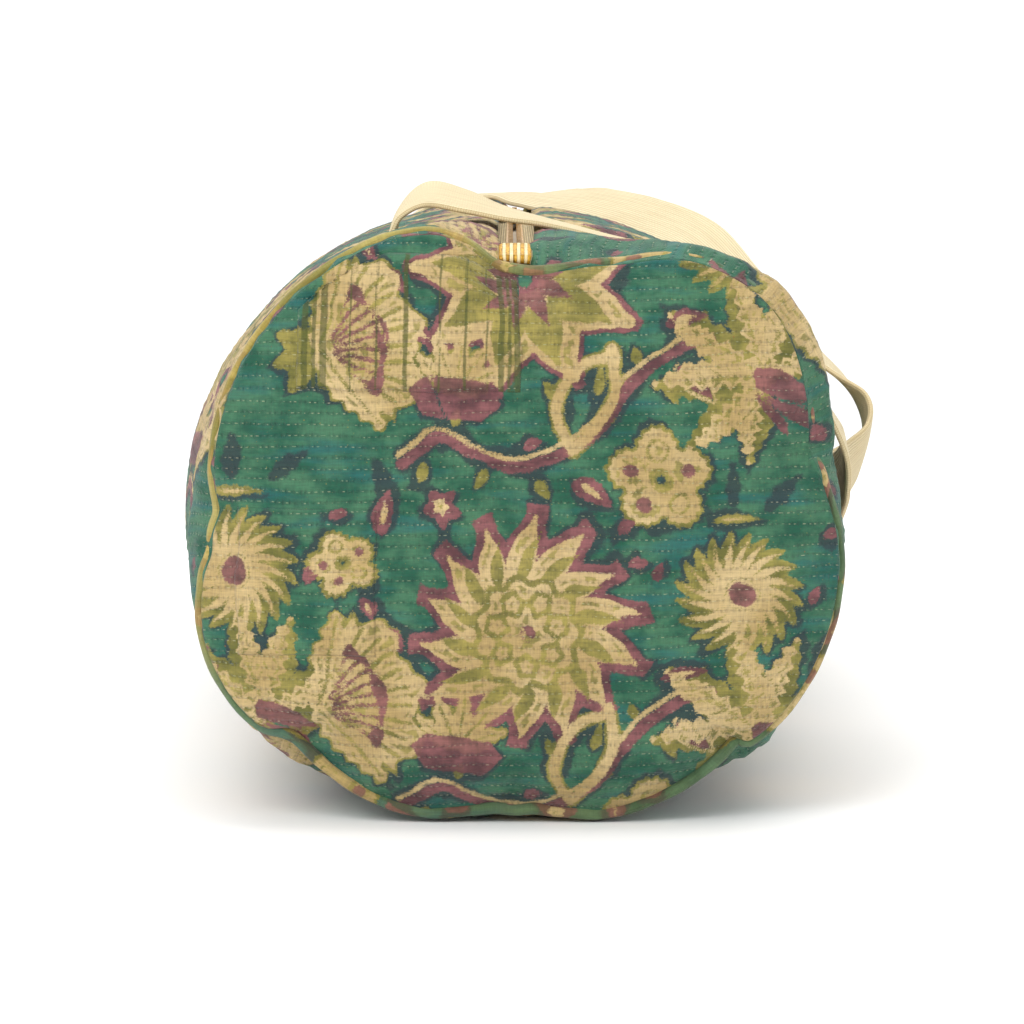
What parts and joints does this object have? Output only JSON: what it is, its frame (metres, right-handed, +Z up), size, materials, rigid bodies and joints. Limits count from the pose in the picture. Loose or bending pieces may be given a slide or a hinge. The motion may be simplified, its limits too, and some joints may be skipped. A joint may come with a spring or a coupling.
{
  "type": "bolster pillow",
  "caption": "Round zipped bolster with a hand-quilted printed cotton cover, piped end seams, a stuffed insert and a cotton webbing carry strap.",
  "frame": {"origin": "middle of the flat face the bolster rests on, on the ground", "axes": "+Z up, Y along the roll with the front end panel at -Y, +X to the right seen from the front"},
  "size_m": [0.3101, 0.6344, 0.2728],
  "materials": {
    "quilted_print": "hand-quilted block-printed cotton, matte",
    "piping_cotton": "bias-cut printed cotton over cord, matte",
    "striped_patch": "striped cotton patch with running stitches",
    "plain_patch": "printed cotton patch with running stitches",
    "webbing": "natural cotton webbing, matte",
    "zip_tape": "woven cotton tape",
    "brass": "satin brass, slightly worn",
    "cord_cotton": "twisted cotton cord",
    "ticking": "plain cotton ticking",
    "batting": "soft polyester wadding"
  },
  "bodies": {
    "root": {"cover_body": "quilted_print", "front_end_panel": "quilted_print", "rear_end_panel": "quilted_print", "front_piping": "piping_cotton", "rear_piping": "piping_cotton", "front_piping_cord": "cord_cotton", "rear_piping_cord": "cord_cotton", "patch_striped": "striped_patch", "patch_plain": "plain_patch", "zip_tape_left": "zip_tape", "zip_tape_right": "zip_tape", "zip_teeth_left": "brass", "zip_teeth_right": "brass", "zip_top_stops": "brass", "zip_bottom_stop": "brass", "zip_tab_front": "quilted_print", "zip_tab_rear": "quilted_print", "strap_tail_front": "webbing", "strap_tail_rear": "webbing", "insert_case": "ticking", "insert_end_front": "ticking", "insert_end_rear": "ticking", "insert_wrap": "batting", "insert_fill": "batting"},
    "slider": {"zip_slider": "brass"},
    "pull": {"zip_pull": "brass"},
    "strap": {"carry_strap": "webbing"}
  },
  "joints": [
    {"name": "slider_travel", "type": "slide", "parent": "root", "child": "slider", "axis": [0, 1, 0], "range_m": [-0.514, 0]},
    {"name": "pull_swing", "type": "hinge", "parent": "slider", "child": "pull", "pos_m": [0, 0.258, 0.2482], "axis": [-1, 0, 0], "range_deg": [0, 170]},
    {"name": "strap_swing", "type": "hinge", "parent": "root", "child": "strap", "pos_m": [-0.055, 0, 0.246], "axis": [0, -1, 0], "range_deg": [0, 115]}
  ]
}
